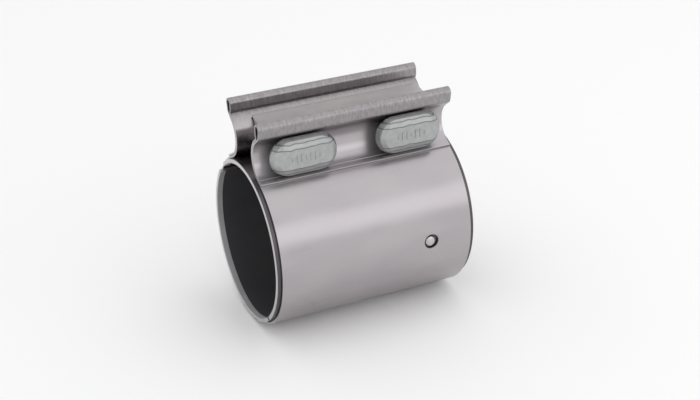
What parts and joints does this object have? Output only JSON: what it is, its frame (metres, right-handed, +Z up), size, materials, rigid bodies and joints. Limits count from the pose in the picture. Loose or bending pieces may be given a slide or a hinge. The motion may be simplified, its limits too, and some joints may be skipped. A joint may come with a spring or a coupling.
{
  "type": "band clamp pipe coupling",
  "caption": "Wide-band butt-joint pipe coupling: a steel band with rolled flanges around a split sleeve, closed by T-head bolts, spacers and nuts over a bar.",
  "frame": {"origin": "middle of the pipe bore, on its axis", "axes": "+X along the pipe, -Y towards the bolt heads, +Y towards the nuts, +Z up through the gap between the flanges"},
  "size_m": [0.0856, 0.0696, 0.0905],
  "materials": {
    "band_steel": "cold-rolled stainless strip, faint lengthwise grain, pinkish grey",
    "sleeve_steel": "cold-rolled stainless plate, bore darkened with a sealing film",
    "bar_metal": "drawn steel section, smooth",
    "zinc": "forged steel with dull zinc-flake coating",
    "nut_zinc": "zinc-plated steel nut"
  },
  "bodies": {
    "rear_half": {"band_rear_half": "band_steel", "sleeve_rear_half": "sleeve_steel", "pivot_spacer_left": "zinc", "pivot_spacer_right": "zinc"},
    "front_half": {"band_front_half": "band_steel", "sleeve_front_half": "sleeve_steel", "locating_rivet": "sleeve_steel"},
    "bar": {"reaction_bar": "bar_metal"},
    "bolt_left": {"t_bolt_left": "zinc"},
    "bolt_right": {"t_bolt_right": "zinc"},
    "nut_left": {"nut_left": "nut_zinc"},
    "nut_right": {"nut_right": "nut_zinc"}
  },
  "joints": [
    {"name": "nut_left_turn", "type": "hinge", "parent": "rear_half", "child": "nut_left", "pos_m": [-0.0225, 0.0235, 0.04026], "axis": [0, -1, 0], "range_deg": [0, 288]},
    {"name": "nut_right_turn", "type": "hinge", "parent": "rear_half", "child": "nut_right", "pos_m": [0.0225, 0.0235, 0.04026], "axis": [0, -1, 0], "range_deg": [0, 288]},
    {"name": "bolt_left_draw", "type": "slide", "parent": "rear_half", "child": "bolt_left", "axis": [0, 1, 0], "range_m": [0, 0.0012]},
    {"name": "bolt_right_draw", "type": "slide", "parent": "rear_half", "child": "bolt_right", "axis": [0, 1, 0], "range_m": [0, 0.0012]},
    {"name": "bar_float", "type": "slide", "parent": "rear_half", "child": "bar", "axis": [0, 1, 0], "range_m": [0, 0.0006]},
    {"name": "band_close", "type": "hinge", "parent": "rear_half", "child": "front_half", "pos_m": [0, -0.02195, -0.02616], "axis": [-1, 0, 0], "range_deg": [0, 1.04]}
  ],
  "couplings": [
    {"joint": "nut_left_turn", "follows": "band_close", "ratio": 278.22},
    {"joint": "nut_right_turn", "follows": "band_close", "ratio": 278.22},
    {"joint": "bolt_left_draw", "follows": "band_close", "m_per_rad": 0.066419},
    {"joint": "bolt_right_draw", "follows": "band_close", "m_per_rad": 0.066419},
    {"joint": "bar_float", "follows": "band_close", "m_per_rad": 0.03321}
  ]
}
